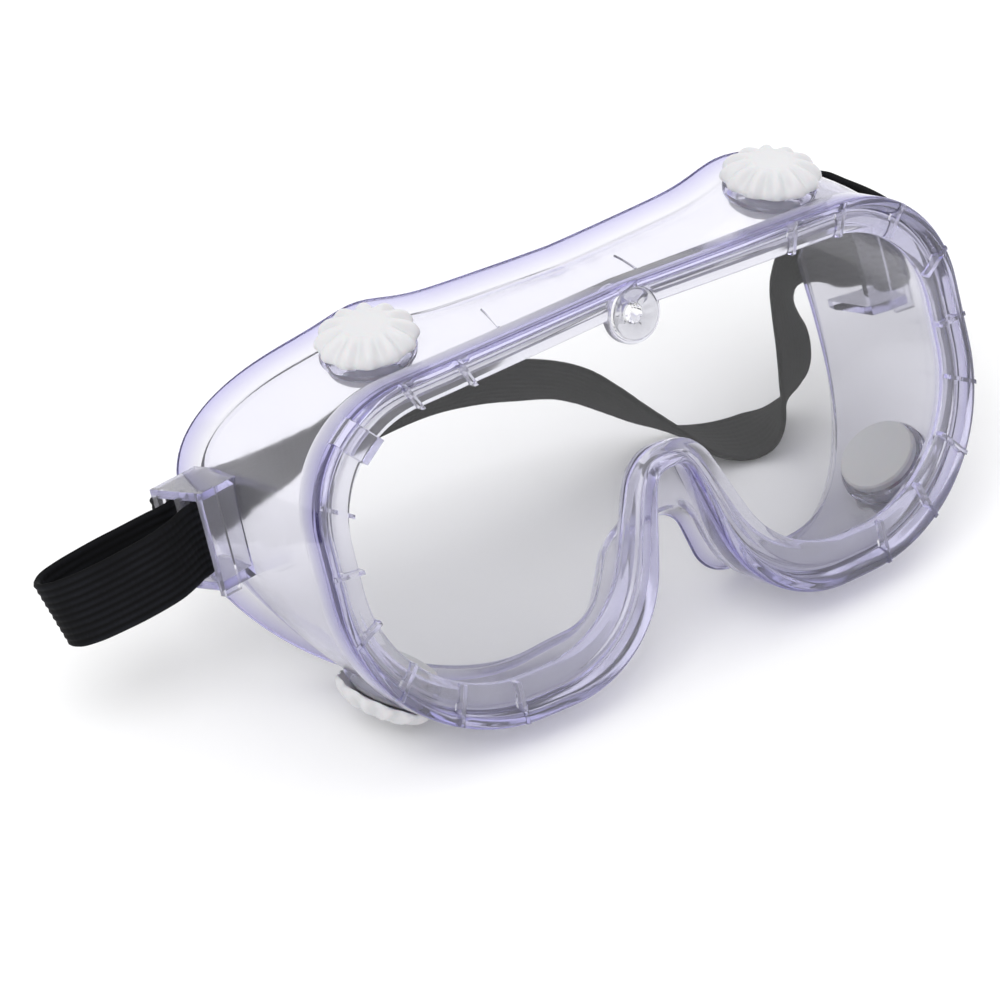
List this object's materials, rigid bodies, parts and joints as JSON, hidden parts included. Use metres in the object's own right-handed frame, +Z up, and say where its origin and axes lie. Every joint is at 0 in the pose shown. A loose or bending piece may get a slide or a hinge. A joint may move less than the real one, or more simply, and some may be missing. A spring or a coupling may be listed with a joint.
{
  "type": "safety goggles",
  "caption": "Clear splash goggles with a soft moulded frame, curved lens, round ribbed vents and an elastic head strap threaded through side lugs.",
  "frame": {"origin": "centre of the footprint of the goggles without the strap, on the surface they rest on", "axes": "+X to the wearer's left as the lens faces -Y, -Y to the front (lens side), +Z up; the lens leans back 22 degrees"},
  "size_m": [0.2274, 0.101, 0.0822],
  "materials": {
    "clear_pvc": "soft clear vinyl with a faint violet cast, glossy, thicker edges more violet",
    "clear_polycarbonate": "polished clear polycarbonate",
    "white_plastic": "fine satin moulding",
    "black_elastic": "ribbed woven elastic webbing"
  },
  "bodies": {
    "goggles": {"frame_body": "clear_pvc", "lens": "clear_polycarbonate", "lens_button": "clear_polycarbonate", "strap": "black_elastic"},
    "vent_top_left": {"vent_cap_top_left": "white_plastic", "vent_seat_top_left": "white_plastic"},
    "vent_top_right": {"vent_cap_top_right": "white_plastic", "vent_seat_top_right": "white_plastic"},
    "vent_bottom_left": {"vent_cap_bottom_left": "white_plastic", "vent_seat_bottom_left": "white_plastic"},
    "vent_bottom_right": {"vent_cap_bottom_right": "white_plastic", "vent_seat_bottom_right": "white_plastic"}
  },
  "joints": [
    {"name": "vent_top_left_turn", "type": "hinge", "parent": "goggles", "child": "vent_top_left", "pos_m": [-0.05082, 0.01025, 0.07516], "axis": [-0.0847, 0.0409, 0.9956], "continuous": true},
    {"name": "vent_top_right_turn", "type": "hinge", "parent": "goggles", "child": "vent_top_right", "pos_m": [0.05082, 0.01025, 0.07516], "axis": [0.0847, 0.0409, 0.9956], "continuous": true},
    {"name": "vent_bottom_left_turn", "type": "hinge", "parent": "goggles", "child": "vent_bottom_left", "pos_m": [-0.06464, -0.01435, 0.00979], "axis": [-0.5355, -0.0869, -0.8401], "continuous": true},
    {"name": "vent_bottom_right_turn", "type": "hinge", "parent": "goggles", "child": "vent_bottom_right", "pos_m": [0.06464, -0.01435, 0.00979], "axis": [0.5355, -0.0869, -0.8401], "continuous": true}
  ]
}
